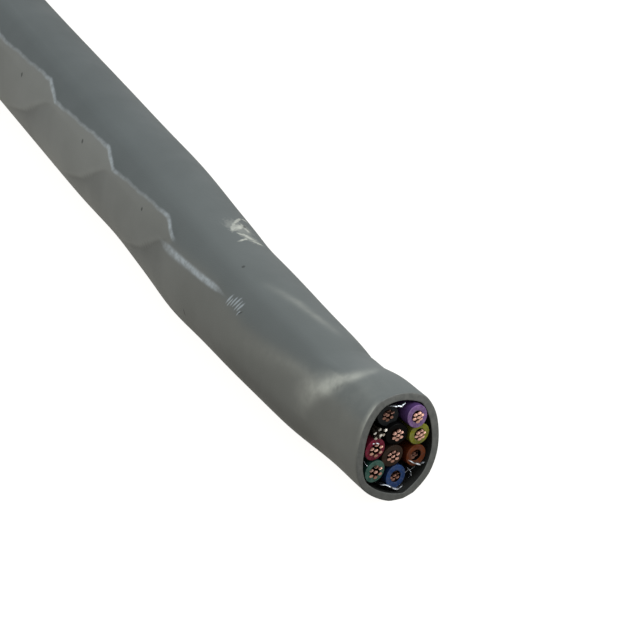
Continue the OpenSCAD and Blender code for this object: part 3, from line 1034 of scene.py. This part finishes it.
        # Painted shade over the jacket's lining.
        inside = np.where((lining > 0.9) & (on_face == 0.0), self.lining_shade, 0.0)
        shade = self.shade(from_end, angle_grid) * np.maximum(share, on_face)
        keep_number(jacket, "flank", self.flank(from_end, angle_grid) * share)
        keep_number(jacket, "crest_highlight_and_scratch", self.crest_highlight_and_scratch(from_end, angle_grid) * share)
        keep_number(jacket, "fold_highlight_and_scuff", self.fold_highlight_and_scuff(from_end, angle_grid % 360.0) * share)
        keep_number(jacket, "shade", np.maximum(shade, inside))
        keep_number(jacket, "cut", np.broadcast_to(on_face, from_end.shape))
        jacket.data.set_sharp_from_angle(angle=self.sharp_angle)
        return jacket

    def _wrap(self, jacket: bpy.types.Object, along_share: np.ndarray, round_share: np.ndarray) -> None:
        """Lays the jacket's own coordinates: along it from the cut end, and round it.

        Args:
            jacket: The jacket.
            along_share: Share of the length for every point.
            round_share: Share of a full turn for every point of a ring.
        """
        sides = len(round_share)
        layer = jacket.data.uv_layers.new(name="wrap")
        corner_point = np.zeros(len(jacket.data.loops), dtype=np.int32)
        jacket.data.loops.foreach_get("vertex_index", corner_point)
        side = corner_point % sides
        last_face = (np.arange(len(corner_point)) // 4) % sides == sides - 1
        full_turn = np.where(last_face & (side == 0), 1.0, 0.0)
        uv = np.stack([along_share.ravel()[corner_point], round_share[side] + full_turn], axis=-1)
        layer.data.foreach_set("uv", uv.astype(np.float32).ravel())

    def declare(self) -> None:
        """Works out points along the middle line, about a path step apart; nothing further is done with them.
        """
        middle = self.route.middle_points(self.path_step)


@dataclass(frozen=True)
class WireEnd:
    """How one wire ends: how far out its insulation and its strands are cut, and which way it leans there."""

    set_out: float = 0.0
    reveal: float = 0.1 * MM
    lean_left: float = 0.0
    lean_up: float = 0.0
    fresh: float = 1.0
    lean_length: float = 3 * MM

    def lean(self, to_end: np.ndarray) -> tuple[np.ndarray, np.ndarray]:
        """Shift to the left and up, at a distance from the wire's end."""
        share = np.exp(-np.maximum(to_end, 0.0) / self.lean_length)
        return self.lean_left * share, self.lean_up * share


@dataclass
class Insulation:
    """Insulation of one conductor: a thin vinyl tube with a roughly cut end."""

    section: Section
    route: Route
    colour: Colour
    end: WireEnd
    tilt: float
    tilt_turn: float
    sides: int = 48
    rim: float = 0.05 * MM
    crush: float = 0.03 * MM
    crush_length: float = 0.8 * MM

    def build(self) -> bpy.types.Object:
        """Makes the tube's mesh.

        Returns:
            The insulation.
        """
        wire = self.section.wires[self.colour]
        length = self.route.wire_length(wire.up) + self.end.set_out
        stops = tube_stops(length, 0.3, 10)
        profile = TubeProfile(length, self.section.bore_radius, wire.radius, self.rim, stops, stops)
        along, out, on_cut = profile.build()
        turn = np.arange(self.sides) * 360.0 / self.sides
        along_grid, turn_grid = np.meshgrid(along, turn, indexing="ij")
        near_cut = np.exp(-(length - along_grid) / self.crush_length)
        squeeze = self.crush * near_cut * np.cos(2 * np.radians(turn_grid - self.tilt_turn))
        wall = np.clip((out - self.section.bore_radius) / self.section.insulation_wall, 0.0, 1.0)[:, None]
        radius = out[:, None] + squeeze * wall
        left, up = unit(turn_grid)
        slope = np.cos(np.radians(turn_grid - self.tilt_turn)) * radius / wire.radius
        shift = self.tilt * slope * near_cut
        lean_left, lean_up = self.end.lean(length - along_grid)
        points = self.route.place(
            along_grid + shift, wire.left + lean_left + radius * left, wire.up + lean_up + radius * up
        )
        tube = mesh_object(f"insulation_tube_{self.colour.value}", points, ring_faces(len(along), self.sides))
        keep_number(tube, "cut", np.broadcast_to(on_cut[:, None], along_grid.shape))
        # Painted shade in the bore.
        in_bore = (wall < 0.1) & (on_cut[:, None] == 0.0)
        keep_number(tube, "bore_shade", np.broadcast_to(in_bore, along_grid.shape))
        return tube


class StrandTree:
    """Geometry Nodes tree that lays seven twisted strands round a wire's middle line."""

    COUNT = 7
    PROFILE_SIDES = 10
    SHARP_ANGLE = math.radians(40)
    PINCH_WIDENING = 0.8
    INPUTS = {
        "NodeSocketGeometry": ("Middle Line",),
        "NodeSocketFloat": (
            "Strand Diameter",
            "Lay Radius",
            "Turn per Metre",
            "Splay",
            "Splay Length",
            "Cut Spread",
            "Pinch",
            "Pinch Length",
            "Fresh",
            "End Turn",
            "Length",
        ),
        "NodeSocketVector": ("Cut Slant", "Pinch Axis", "Row Axis"),
        "NodeSocketInt": ("Seed",),
        "NodeSocketMaterial": ("Metal",),
    }

    def __init__(self) -> None:
        """Builds the tree with its named inputs."""
        self.tree = bpy.data.node_groups.new("strand_lay", "GeometryNodeTree")
        face = self.tree.interface
        for kind, names in self.INPUTS.items():
            for name in names:
                face.new_socket(name, in_out="INPUT", socket_type=kind)
        face.new_socket("Strands", in_out="OUTPUT", socket_type="NodeSocketGeometry")
        self._lay()

    def _lay(self) -> None:
        """Adds and joins the nodes."""
        board = NodeBoard(self.tree)
        given = board.add("NodeGroupInput").outputs
        line = board.add("GeometryNodeMeshToCurve", {"Mesh": given["Middle Line"]}).outputs["Curve"]
        copies = board.add(
            "GeometryNodeDuplicateElements", {"Geometry": line, "Amount": self.COUNT}, domain="SPLINE"
        )
        number = copies.outputs["Duplicate Index"]
        along = board.add("GeometryNodeSplineParameter").outputs["Length"]
        tangent = board.add("GeometryNodeInputTangent").outputs["Tangent"]
        to_left = board.vector("CROSS_PRODUCT", (0.0, 0.0, 1.0), tangent)
        sixth = board.math("MULTIPLY", number, math.radians(60))
        before_end = board.math("SUBTRACT", along, given["Length"])
        twist = board.math("MULTIPLY_ADD", before_end, given["Turn per Metre"], given["End Turn"])
        turn = board.math("ADD", twist, sixth)
        to_end = board.math("DIVIDE", board.math("SUBTRACT", given["Length"], along), given["Splay Length"])
        flare = board.math("EXPONENT", board.math("MULTIPLY", to_end, -1.0))
        looseness = board.math("MULTIPLY_ADD", flare, given["Splay"], 1.0)
        off_middle = board.math("MINIMUM", number, 1.0)
        radius = board.math("MULTIPLY", board.math("MULTIPLY", given["Lay Radius"], off_middle), looseness)
        aside = board.scaled(to_left, board.math("MULTIPLY", radius, board.math("COSINE", turn)))
        upward = board.scaled((0.0, 0.0, 1.0), board.math("MULTIPLY", radius, board.math("SINE", turn)))
        offset = board.vector("ADD", aside, upward)
        strands = copies.outputs["Geometry"]
        laid = board.add("GeometryNodeSetPosition", {"Geometry": strands, "Offset": offset})
        self._cut(board, given, laid.outputs["Geometry"], number)

    def _cut(self, board: NodeBoard, given: Any, curves: Any, number: Any) -> None:
        """Cuts the strands to uneven lengths, gives them their round form and slants their ends.

        Args:
            board: The tree under construction.
            given: The tree's inputs.
            curves: The laid strands.
            number: The number of each strand.
        """
        draw = {"ID": number, "Seed": given["Seed"]}
        uneven = board.add("FunctionNodeRandomValue", draw, data_type="FLOAT")
        uneven.inputs[2].default_value = -1.0
        uneven.inputs[3].default_value = 1.0
        tangent = board.add("GeometryNodeInputTangent").outputs["Tangent"]
        stretch = board.scaled(tangent, board.math("MULTIPLY", uneven.outputs[1], given["Cut Spread"]))
        tips = board.add("GeometryNodeCurveEndpointSelection", {"Start Size": 0, "End Size": 1})
        cut = board.add(
            "GeometryNodeSetPosition",
            {"Geometry": curves, "Selection": tips.outputs["Selection"], "Offset": stretch},
        )
        kept = board.add("GeometryNodeCaptureAttribute", {"Geometry": cut.outputs["Geometry"]})
        for kind, name in (("VECTOR", "Middle"), ("VECTOR", "Ahead"), ("FLOAT", "Tip"), ("FLOAT", "Flat")):
            kept.capture_items.new(kind, name)
        board.put(kept.inputs["Middle"], board.add("GeometryNodeInputPosition").outputs["Position"])
        board.put(kept.inputs["Ahead"], board.add("GeometryNodeInputTangent").outputs["Tangent"])
        board.put(kept.inputs["Tip"], tips.outputs["Selection"])
        along = board.add("GeometryNodeSplineParameter").outputs["Length"]
        whole = board.add("GeometryNodeSplineLength").outputs["Length"]
        past = board.math("DIVIDE", board.math("SUBTRACT", along, whole), given["Pinch Length"])
        board.put(kept.inputs["Flat"], board.math("EXPONENT", past))
        radius = board.math("MULTIPLY", given["Strand Diameter"], 0.5)
        ring = board.add(
            "GeometryNodeCurvePrimitiveCircle", {"Resolution": self.PROFILE_SIDES, "Radius": radius}
        )
        solid = board.add(
            "GeometryNodeCurveToMesh",
            {"Curve": kept.outputs["Geometry"], "Profile Curve": ring.outputs["Curve"], "Fill Caps": True},
        )
        position = board.add("GeometryNodeInputPosition").outputs["Position"]
        outward = board.vector("SUBTRACT", position, kept.outputs["Middle"])
        lean = board.vector("DOT_PRODUCT", outward, given["Cut Slant"], number=True)
        slant = board.scaled(kept.outputs["Ahead"], board.math("MULTIPLY", lean, kept.outputs["Tip"]))
        pinched = board.math("MULTIPLY", given["Pinch"], kept.outputs["Flat"])
        thick = board.vector("DOT_PRODUCT", outward, given["Pinch Axis"], number=True)
        wide = board.vector("DOT_PRODUCT", outward, given["Row Axis"], number=True)
        thinner = board.math("MULTIPLY", board.math("MULTIPLY", thick, pinched), -1.0)
        wider = board.math("MULTIPLY", board.math("MULTIPLY", wide, pinched), self.PINCH_WIDENING)
        pinch = board.vector(
            "ADD", board.scaled(given["Pinch Axis"], thinner), board.scaled(given["Row Axis"], wider)
        )
        slanted = board.add(
            "GeometryNodeSetPosition",
            {"Geometry": solid.outputs["Mesh"], "Offset": board.vector("ADD", slant, pinch)},
        )
        marked = board.add(
            "GeometryNodeStoreNamedAttribute",
            {
                "Geometry": slanted.outputs["Geometry"],
                "Name": "tip",
                "Value": board.math("MULTIPLY", kept.outputs["Tip"], given["Fresh"]),
            },
        )
        real = board.add("GeometryNodeRealizeInstances", {"Geometry": marked.outputs["Geometry"]})
        metal = board.add(
            "GeometryNodeSetMaterial", {"Geometry": real.outputs["Geometry"], "Material": given["Metal"]}
        )
        board.add("NodeGroupOutput", {"Strands": metal.outputs["Geometry"]})

    def apply(self, name: str, line: np.ndarray, sizes: dict[str, Any]) -> bpy.types.Object:
        """Lays strands round a middle line, as a plain mesh.

        Args:
            name: Name of the piece.
            line: Points of the middle line.
            sizes: Values of the tree's inputs, by name.

        Returns:
            The strands.
        """
        mesh = bpy.data.meshes.new(f"{name}_line")
        edges = [(i, i + 1) for i in range(len(line) - 1)]
        mesh.from_pydata(line.tolist(), edges, [])
        piece = bpy.data.objects.new(name, mesh)
        bpy.context.scene.collection.objects.link(piece)
        modifier = piece.modifiers.new("lay", "NODES")
        modifier.node_group = self.tree
        for item in self.tree.interface.items_tree:
            if item.in_out == "INPUT" and item.name in sizes:
                modifier[item.identifier] = sizes[item.name]
        depsgraph = bpy.context.evaluated_depsgraph_get()
        result = bpy.data.meshes.new_from_object(piece.evaluated_get(depsgraph), depsgraph=depsgraph)
        piece.modifiers.remove(modifier)
        piece.data = result
        result.name = name
        bpy.data.meshes.remove(mesh)
        result.shade_smooth()
        result.set_sharp_from_angle(angle=self.SHARP_ANGLE)
        return piece


@dataclass
class StrandBundle:
    """Seven bare strands of one wire."""

    section: Section
    route: Route
    tree: StrandTree
    wire: Wire
    strand_d: float
    end: WireEnd
    metal: bpy.types.Material
    seed: int
    splay: float = 0.24
    slack: float = 0.04 * MM
    lay_length: float = 16 * MM
    point_step: float = 1 * MM
    splay_length: float = 0.35 * MM
    cut_spread: float = 0.05 * MM
    cut_slant: Vector = Vector((0.0, 0.35, -0.5))
    row_turn: float = 20.0
    pinch: float = 0.42
    pinch_length: float = 0.4 * MM

    def build(self, name: str) -> bpy.types.Object:
        """Makes the strands' mesh under a name."""
        length = self.route.wire_length(self.wire.up) + (self.end.set_out + self.end.reveal)
        along = np.linspace(0.0, length, 1 + round(length / self.point_step))
        fine_end = length - np.array([0.75, 0.5, 0.25, 0.12]) * MM
        along = np.sort(np.concatenate([along, fine_end]))
        lean_left, lean_up = self.end.lean(length - along)
        line = self.route.place(along, self.wire.left + lean_left, self.wire.up + lean_up)
        row = math.radians(self.row_turn)
        sizes = {
            "Strand Diameter": self.strand_d - self.slack,
            "Lay Radius": self.strand_d + self.section.strand_gap,
            "Turn per Metre": 2 * math.pi / self.lay_length,
            "Splay": self.splay,
            "Splay Length": self.splay_length,
            "Cut Spread": self.cut_spread,
            "Cut Slant": self.cut_slant,
            "Pinch Axis": (0.0, -math.sin(row), math.cos(row)),
            "Row Axis": (0.0, math.cos(row), math.sin(row)),
            "Fresh": self.end.fresh,
            "Pinch": self.pinch,
            "Pinch Length": self.pinch_length,
            "End Turn": row,
            "Length": length,
            "Seed": self.seed,
            "Metal": self.metal,
        }
        return self.tree.apply(name, line, sizes)


@dataclass(frozen=True)
class FoilFlap:
    """A loose edge of the foil that curls over the bundle at the cut.

    Each spot is how far left, up and out of the cut the middle of the flap lies, in millimetres.
    """

    spots: tuple[tuple[float, float, float], ...]
    width: float


@dataclass
class FoilShield:
    """Foil tape round the bundle, closed along the cable and crumpled at the cut."""

    section: Section
    route: Route
    sides: int = 360
    recess: float = 1.0 * MM
    rim: float = 0.012 * MM
    edge_wave: float = 0.3 * MM
    crumple: float = 0.05 * MM
    crumple_length: float = 1.2 * MM
    seed: int = 11
    flap_steps: int = 24
    flap_thick: float = 0.03 * MM
    flap_curl: float = 0.35
    flap_across: int = 6
    flaps: tuple[FoilFlap, ...] = (
        FoilFlap(
            (
                (-0.3, 2.78, -0.45),
                (-0.05, 2.8, -0.1),
                (0.3, 2.72, 0.0),
                (0.6, 2.66, 0.05),
                (0.92, 2.8, -0.1),
            ),
            0.42 * MM,
        ),
        FoilFlap(
            (
                (-2.35, 0.4, -0.5),
                (-2.12, 0.6, -0.15),
                (-1.8, 0.74, 0.0),
                (-1.4, 0.62, 0.08),
            ),
            0.6 * MM,
        ),
        FoilFlap(
            (
                (0.72, -1.2, -0.2),
                (0.98, -1.42, -0.05),
                (1.35, -1.72, 0.0),
                (1.8, -1.92, -0.05),
                (2.28, -1.95, -0.3),
            ),
            0.42 * MM,
        ),
        FoilFlap(
            (
                (0.9, -1.95, -0.4),
                (1.02, -2.2, -0.15),
                (1.04, -2.5, -0.15),
                (0.9, -2.75, -0.4),
            ),
            0.26 * MM,
        ),
        FoilFlap(
            (
                (-1.25, -2.6, -0.5),
                (-0.95, -2.58, -0.1),
                (-0.7, -2.72, 0.0),
                (-0.4, -3.0, 0.0),
                (0.1, -3.14, -0.05),
                (0.5, -3.08, -0.4),
            ),
            0.44 * MM,
        ),
        FoilFlap(
            (
                (-2.38, -0.5, -0.5),
                (-2.3, -0.75, -0.15),
                (-2.2, -1.0, -0.15),
                (-2.35, -1.2, -0.5),
            ),
            0.34 * MM,
        ),
        FoilFlap(
            (
                (2.4, 0.9, -0.5),
                (2.42, 0.5, -0.3),
                (2.38, 0.1, -0.3),
                (2.3, -0.3, -0.55),
            ),
            0.26 * MM,
        ),
    )

    def outline(self) -> tuple[np.ndarray, np.ndarray, np.ndarray, np.ndarray]:
        """Tight line round the bundle, in steps of equal length.

        Returns:
            Left and up of each point, and left and up of its outward direction.
        """
        angle = np.arange(0.0, 360.0, 0.5)
        left, up = unit(angle)
        circles = self.section.circles
        reaches = circles[:, 0] * left[:, None] + circles[:, 1] * up[:, None] + circles[:, 2]
        outermost = circles[np.argmax(reaches, axis=1)]
        x = outermost[:, 0] + outermost[:, 2] * left
        y = outermost[:, 1] + outermost[:, 2] * up
        x, y = np.append(x, x[0]), np.append(y, y[0])
        walked = np.concatenate([[0.0], np.cumsum(np.hypot(np.diff(x), np.diff(y)))])
        stops = np.arange(self.sides) / self.sides * walked[-1]
        x, y = np.interp(stops, walked, x), np.interp(stops, walked, y)
        ahead_x, ahead_y = np.roll(x, -1) - np.roll(x, 1), np.roll(y, -1) - np.roll(y, 1)
        size = np.hypot(ahead_x, ahead_y)
        return x, y, ahead_y / size, -ahead_x / size

    def build(self) -> bpy.types.Object:
        """Makes the foil's mesh: the closed wrap, and the loose flaps at its edge.

        Returns:
            The foil.
        """
        section, route = self.section, self.route
        length = route.length - self.recess
        stops = tube_stops(length, 0.1, 14)
        profile = TubeProfile(length, section.foil_inner, section.foil_outer, self.rim, stops, stops, 2, 1)
        along, out, _ = profile.build()
        x, y, out_x, out_y = self.outline()
        turn = np.arange(self.sides) / self.sides * 2 * math.pi
        random = np.random.default_rng(self.seed)
        full_turn = 2 * math.pi
        wave = sum(np.sin(turn * n + random.uniform(0.0, full_turn)) / math.sqrt(n) for n in (5, 9, 14, 23))
        crinkle = sum(np.sin(turn * n + random.uniform(0.0, full_turn)) for n in (17, 31, 47))
        near_cut = np.exp(-(length - along) / self.crumple_length)[:, None]
        grow = out[:, None] - self.crumple * near_cut * (0.5 + crinkle / 6) ** 2
        left = x + grow * out_x
        up = y + grow * out_y
        reach = along[:, None] + self.edge_wave * wave * near_cut / 2
        parts = [route.place(route.leaned(reach, up), left, up).reshape(-1, 3)]
        faces = [ring_faces(len(along), self.sides)]
        first = len(parts[0])
        for flap in self.flaps:
            points, quads = self._flap(flap, first)
            parts.append(points)
            faces.append(quads)
            first += len(points)
        return mesh_object("foil_wrap", np.concatenate(parts), np.concatenate(faces))

    def _flap(self, flap: FoilFlap, first: int) -> tuple[np.ndarray, np.ndarray]:
        """Points and faces of a flap: a thin strip with wavy edges.

        Args:
            flap: The flap.
            first: Number of its first point.

        Returns:
            The points, and the four points of each face.
        """
        spots = np.array(flap.spots) * MM
        at = np.linspace(0.0, 1.0, len(spots))
        share = np.linspace(0.0, 1.0, self.flap_steps)
        smooth = np.stack([np.interp(share, at, spots[:, k]) for k in range(3)], axis=-1)
        for _ in range(3):
            smooth[1:-1] = (smooth[:-2] + 2 * smooth[1:-1] + smooth[2:]) / 4
        ahead = np.gradient(smooth, axis=0)
        ahead /= np.linalg.norm(ahead, axis=1)[:, None]
        across = np.stack([-ahead[:, 1], ahead[:, 0]], axis=-1) * self.flap_thick / 2
        half = flap.width / 2 * (0.35 + 0.65 * np.sin(math.pi * np.clip(share * 0.85 + 0.1, 0.0, 1.0)))
        ripple = 0.25 * np.sin(share * 21.0)
        over = np.linspace(1.0, -1.0, self.flap_across)
        corners = []
        for face, sides in ((1, over), (-1, over[::-1])):
            for side in sides:
                curl = self.flap_curl * half * (1.0 - side * side)
                left = smooth[:, 0] + face * across[:, 0] + curl * -ahead[:, 1]
                up = smooth[:, 1] + face * across[:, 1] + curl * ahead[:, 0]
                out = smooth[:, 2] + half * (side + ripple) - half
                corners.append(self.route.place(self.route.leaned(self.route.length + out, up), left, up))
        around = len(corners)
        points = np.stack(corners, axis=1).reshape(-1, 3)
        quads = ring_faces(self.flap_steps, around, first)[:-around]
        near = first + np.arange(self.flap_across - 1)
        far = first + around - 1 - np.arange(self.flap_across - 1)
        start = np.stack([near + 1, near, far, far - 1], axis=-1)
        end = start[:, ::-1] + around * (self.flap_steps - 1)
        return points, np.concatenate([quads, start, end])[:, ::-1]


@dataclass
class Studio:
    """Pale floor, soft light and the camera at the photographed angle."""

    route: Route
    elevation: float = math.radians(30)
    azimuth: float = math.radians(66.44)
    distance: float = 0.6
    cut_right: float = 5.0 * MM
    cut_below: float = 8.19 * MM
    lens: float = 520.7
    sensor: float = 36.0
    floor_half: float = 3.0
    floor_drop: float = 0.01 * MM
    light_axis: tuple[float, float, float] = (-0.42, -0.24, 0.87)
    dome_low: float = 0.44
    dome_rise: float = 0.68
    dome_from: float = -0.4
    dome_to: float = 0.5
    dome_warm: Rgb = (1.0, 0.95, 0.86)
    dome_cool: Rgb = (0.93, 0.98, 1.0)
    lamp_place: Vector = Vector((0.045, 0.03, 0.07))
    lamp_size: float = 0.05
    lamp_power: float = 0.04
    lamp_tint: Rgb = (0.95, 0.98, 1.0)

    def build(self) -> None:
        """Sets up the floor, the world, the lamp and the camera."""
        self._floor()
        self._world()
        self._lamp()
        self._camera()
        bpy.context.scene.view_settings.view_transform = "Standard"

    def _floor(self) -> None:
        """Lays a wide pale floor just under the cable, whose glow doesn't light the cable."""
        half, low = self.floor_half, -self.floor_drop
        corners = np.array([(-half, -half, low), (half, -half, low), (half, half, low), (-half, half, low)])
        floor = mesh_object("floor", corners, np.array([[0, 1, 2, 3]]))
        shader = Shader("pale_floor")
        floor.data.materials.append(
            shader.finish(
                Base_Color=(0.1, 0.1, 0.1, 1.0),
                Roughness=0.9,
                Specular_IOR_Level=0.0,
                Emission_Color=(1.0, 0.99, 0.97, 1.0),
                Emission_Strength=0.97,
            )
        )
        floor.visible_diffuse = False
        floor.visible_glossy = False

    def _world(self) -> None:
        """Fills the room with soft light, cool and strong from above and behind, weak and warm elsewhere."""
        world = bpy.data.worlds.new("soft_room")
        world.use_nodes = True
        board = NodeBoard(world.node_tree)
        sight = board.add("ShaderNodeTexCoord").outputs["Generated"]
        height = board.vector("DOT_PRODUCT", sight, Vector(self.light_axis).normalized(), number=True)
        inputs = {"Value": height, "From Min": self.dome_from, "From Max": self.dome_to}
        share = board.add("ShaderNodeMapRange", inputs).outputs["Result"]
        tint = board.add("ShaderNodeMix", {"Factor": share}, data_type="RGBA")
        ends = [socket for socket in tint.inputs if socket.type == "RGBA"]
        ends[0].default_value = (*self.dome_warm, 1.0)
        ends[1].default_value = (*self.dome_cool, 1.0)
        colour = next(socket for socket in tint.outputs if socket.type == "RGBA")
        strength = board.math("MULTIPLY_ADD", share, self.dome_rise, self.dome_low)
        sky = board.add("ShaderNodeBackground", {"Color": colour, "Strength": strength})
        board.add("ShaderNodeOutputWorld", {"Surface": sky.outputs["Background"]})
        bpy.context.scene.world = world

    def _lamp(self) -> None:
        """Adds a square soft lamp above the cable, facing the middle of it."""
        lamp = bpy.data.lights.new("top_softbox", "AREA")
        lamp.shape = "SQUARE"
        lamp.size = self.lamp_size
        lamp.energy = self.lamp_power
        lamp.color = self.lamp_tint
        holder = bpy.data.objects.new("top_softbox", lamp)
        holder.location = self.lamp_place
        holder.rotation_euler = (-self.lamp_place).to_track_quat("-Z", "Y").to_euler()
        bpy.context.scene.collection.objects.link(holder)

    def _camera(self) -> None:
        """Puts the camera where the cut end falls in the photographed place."""
        nothing = np.array(0.0)
        cut = Vector(self.route.place(np.array(self.route.length), nothing, nothing))
        level, height = math.cos(self.elevation), math.sin(self.elevation)
        right = Vector((math.cos(self.azimuth), math.sin(self.azimuth), 0.0))
        back = Vector((right.y * level, -right.x * level, height))
        up = back.cross(right)
        lens = bpy.data.cameras.new("view")
        lens.lens = self.lens
        lens.sensor_width = self.sensor
        lens.clip_end = 10.0
        camera = bpy.data.objects.new("view", lens)
        place = cut + back * self.distance - right * self.cut_right + up * self.cut_below
        turn = Matrix((right, up, back)).transposed()
        camera.matrix_world = Matrix.Translation(place) @ turn.to_4x4()
        bpy.context.scene.collection.objects.link(camera)
        bpy.context.scene.camera = camera


WIRE_ENDS: dict[Colour, WireEnd] = {
    Colour.BLACK: WireEnd(-0.08 * MM, 0.14 * MM, -0.18 * MM, 0.04 * MM, 0.95),
    Colour.BROWN: WireEnd(-0.15 * MM, 0.1 * MM, -0.06 * MM, 0.1 * MM, 0.8),
    Colour.RED: WireEnd(-0.1 * MM, 0.14 * MM, 0.0, 0.03 * MM, 0.95),
    Colour.ORANGE: WireEnd(-0.12 * MM, -0.3 * MM, 0.2 * MM, 0.12 * MM, 0.35),
    Colour.YELLOW: WireEnd(0.0, 0.14 * MM, -0.1 * MM, 0.06 * MM, 0.95),
    Colour.GREEN: WireEnd(-0.2 * MM, 0.1 * MM, 0.0, 0.12 * MM, 0.8),
    Colour.BLUE: WireEnd(-0.2 * MM, -0.16 * MM, -0.15 * MM, 0.15 * MM, 0.5),
    Colour.VIOLET: WireEnd(0.3 * MM, 0.14 * MM, 0.04 * MM, -0.04 * MM, 1.0),
    Colour.GREY: WireEnd(-0.4 * MM, 0.0, 0.22 * MM, -0.08 * MM, 0.55),
}
DRAIN_END = WireEnd(0.0, 0.1 * MM)
END_TILT = 0.06 * MM


def build_conductors(section: Section, route: Route, tree: StrandTree) -> list[bpy.types.Object]:
    """Builds the insulation and the strands of every conductor.

    Args:
        section: The cross section.
        route: The route.
        tree: The tree that lays strands.

    Returns:
        The pieces.
    """
    copper = COPPER.material("bare_copper")
    pieces = []
    for number, colour in enumerate(Colour):
        end = WIRE_ENDS[colour]
        tube = Insulation(section, route, colour, end, END_TILT, 40.0 * number).build()
        vinyl = VINYLS[colour].material(f"{colour.value}_vinyl")
        dress(tube, vinyl, f"insulation_{colour.value}")
        wire = section.wires[colour]
        bundle = StrandBundle(section, route, tree, wire, section.strand_d, end, copper, number)
        strands = bundle.build(f"copper_strands_{colour.value}")
        dress(strands, None, f"strands_{colour.value}")
        pieces += [tube, strands]
    return pieces


def main() -> None:
    """Builds the studio and every piece of the cable."""
    logging.basicConfig(level=logging.INFO, format="%(name)s %(message)s")
    section = Section()
    route = Route(section.origin)
    Studio(route).build()
    jacket_maker = Jacket(section, route)
    jacket = jacket_maker.build()
    dress(jacket, JacketFinish().material(route), "jacket")
    tree = StrandTree()
    inside = build_conductors(section, route, tree)
    tin = TIN.material("bright_tin")
    drain = StrandBundle(
        section,
        route,
        tree,
        section.drain,
        section.drain_strand_d,
        DRAIN_END,
        tin,
        seed=21,
        splay=0.5,
        slack=0.02 * MM,
        cut_spread=0.16 * MM,
        row_turn=32.0,
    ).build("drain_strands")
    dress(drain, None, "drain_wire")
    foil = FoilShield(section, route).build()
    dress(foil, FOIL.material("bright_foil"), "foil_shield")
    jacket_maker.declare()


if __name__ == "__main__":
    main()
